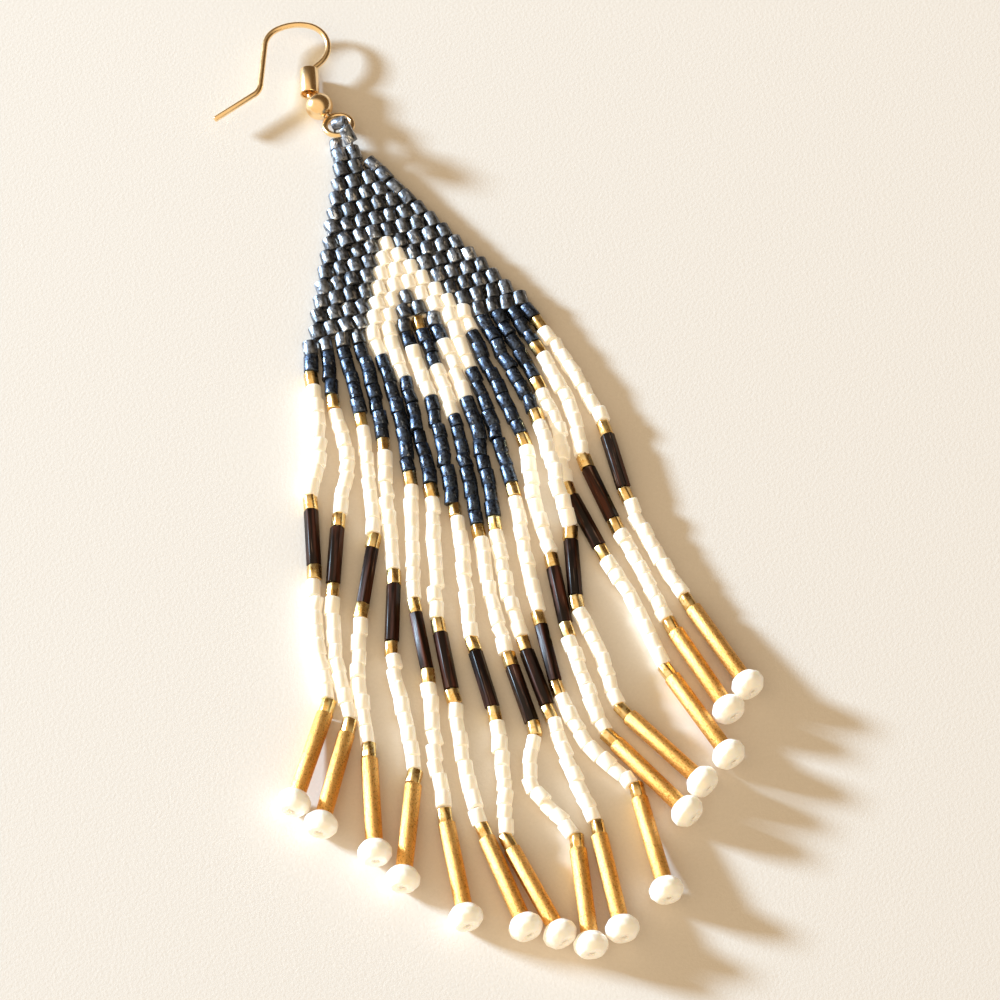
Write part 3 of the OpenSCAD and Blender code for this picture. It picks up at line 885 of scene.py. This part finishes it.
# The two ends of each bead, then the thread's points inside the eye and on the beadwork
loopValues = {
    "beads": [((-2.85, 22.4, 0.8), (-2.65, 23.65, 0.8)), ((-2.55, 24.7, 2.35), (-1.3, 24.4, 3.05)),
              ((-1.65, 23.55, 3.35), (-1.25, 22, 2.55))],
    "inside": (-2.55, 24.1, 1.1),
    "foot": (-1.25, 21.6, 1.75),
    "beadRadius": 0.7,
    "threadShare": 0.9,
}
loop = Piece()
for low, high in loopValues["beads"]:
    low, high = Vector(low), Vector(high)
    addBead(loop, "b", (low + high) / 2, (high - low).normalized(), (high - low).length, 0, 0,
            loopValues["beadRadius"])
ends = [Vector(end) for pair in loopValues["beads"] for end in pair]
line = ends[:2] + [Vector(loopValues["inside"])] + ends[2:] + [Vector(loopValues["foot"])]
addThread(loop, line, [beadShape["threadRadius"] * loopValues["threadShare"]] * len(line), "dark")
# The loop's blue beads also take the lighter, painted-light copy of the bead finish
loop.build("beadLoop", [denimWeavePaintedLight] + beadMaterials[1:], "bead_loop")
print("bead loop made")


# floor and light

floorValues = {
    "reach": 1.5,
    "dark": (0.77, 0.705, 0.63),
    "light": (0.87, 0.80, 0.72),
    "surface": {"Roughness": 0.75, "Specular IOR Level": 0.2},
    "noise": {"Scale": 3000.0, "Detail": 3.0, "Roughness": 0.65},
    "relief": 0.22,
}
reach = floorValues["reach"]
floorMesh = bpy.data.meshes.new("floor")
corners = [(-reach, -reach, 0), (reach, -reach, 0), (reach, reach, 0), (-reach, reach, 0)]
floorMesh.from_pydata(corners, [], [(0, 1, 2, 3)])
floor = bpy.data.objects.new("floor", floorMesh)
bpy.context.scene.collection.objects.link(floor)
floorMaterial = bpy.data.materials.new("paleFloor")
floorMaterial.use_nodes = True
tree = floorMaterial.node_tree
shader = tree.nodes["Principled BSDF"]
setSockets(shader, floorValues["surface"])
place, fine = tree.nodes.new("ShaderNodeTexCoord"), tree.nodes.new("ShaderNodeTexNoise")
setSockets(fine, floorValues["noise"])
colours = tree.nodes.new("ShaderNodeMix")
colours.data_type = "RGBA"
colours.inputs["A"].default_value = (*floorValues["dark"], 1)
colours.inputs["B"].default_value = (*floorValues["light"], 1)
relief = tree.nodes.new("ShaderNodeBump")
setSockets(relief, {"Strength": floorValues["relief"], "Distance": reliefDepth})
tree.links.new(place.outputs["Object"], fine.inputs["Vector"])
tree.links.new(fine.outputs["Fac"], colours.inputs["Factor"])
tree.links.new(fine.outputs["Fac"], relief.inputs["Height"])
tree.links.new(colours.outputs["Result"], shader.inputs["Base Color"])
tree.links.new(relief.outputs["Normal"], shader.inputs["Normal"])
floorMesh.materials.append(floorMaterial)

light = {
    "windowWay": (-0.83, 0.557),
    "windowHeight": 14.5,  # degrees above the floor
    "windowPlace": 2.0,  # metres from the origin
    "windowSize": (0.36, 0.17),
    "windowPower": 119,
    "windowColour": (0.597, 0.794, 1.0),
    "brightWay": (-0.65, -0.45, 0.6),
    "brightFrom": (0.1, 0.5),
    "dimColour": (0.13, 0.085, 0.045),
    "brightColour": (1.015, 0.81, 0.55),
    "skyStrength": 1.0,
}
# A wide low window, far enough away for its shadows to lie alike over the whole floor
windowData = bpy.data.lights.new("window", "AREA")
windowData.shape = "RECTANGLE"
windowData.size, windowData.size_y = light["windowSize"]
windowData.energy, windowData.color = light["windowPower"], light["windowColour"]
window = bpy.data.objects.new("window", windowData)
height = math.radians(light["windowHeight"])
windowFrom = Vector((light["windowWay"][0] * math.cos(height), light["windowWay"][1] * math.cos(height),
                     math.sin(height)))
window.location = windowFrom * light["windowPlace"]
window.rotation_mode = "QUATERNION"
window.rotation_quaternion = windowFrom.to_track_quat("Z", "Y")
bpy.context.scene.collection.objects.link(window)
# The sky is bright on the left and near side and dim on the far side, so the metal has contrast
world = bpy.data.worlds.new("sky")
bpy.context.scene.world = world
world.use_nodes = True
tree = world.node_tree
sky = tree.nodes["Background"]
way, along = tree.nodes.new("ShaderNodeTexCoord"), tree.nodes.new("ShaderNodeVectorMath")
along.operation = "DOT_PRODUCT"
along.inputs[1].default_value = Vector(light["brightWay"]).normalized()
share, colours = tree.nodes.new("ShaderNodeMapRange"), tree.nodes.new("ShaderNodeMix")
setSockets(share, {"From Min": light["brightFrom"][0], "From Max": light["brightFrom"][1]})
share.interpolation_type = "SMOOTHSTEP"
colours.data_type = "RGBA"
colours.inputs["A"].default_value = (*light["dimColour"], 1)
colours.inputs["B"].default_value = (*light["brightColour"], 1)
tree.links.new(way.outputs["Generated"], along.inputs[0])
tree.links.new(along.outputs["Value"], share.inputs["Value"])
tree.links.new(share.outputs["Result"], colours.inputs["Factor"])
tree.links.new(colours.outputs["Result"], sky.inputs["Color"])
sky.inputs["Strength"].default_value = light["skyStrength"]
print("floor and light made")
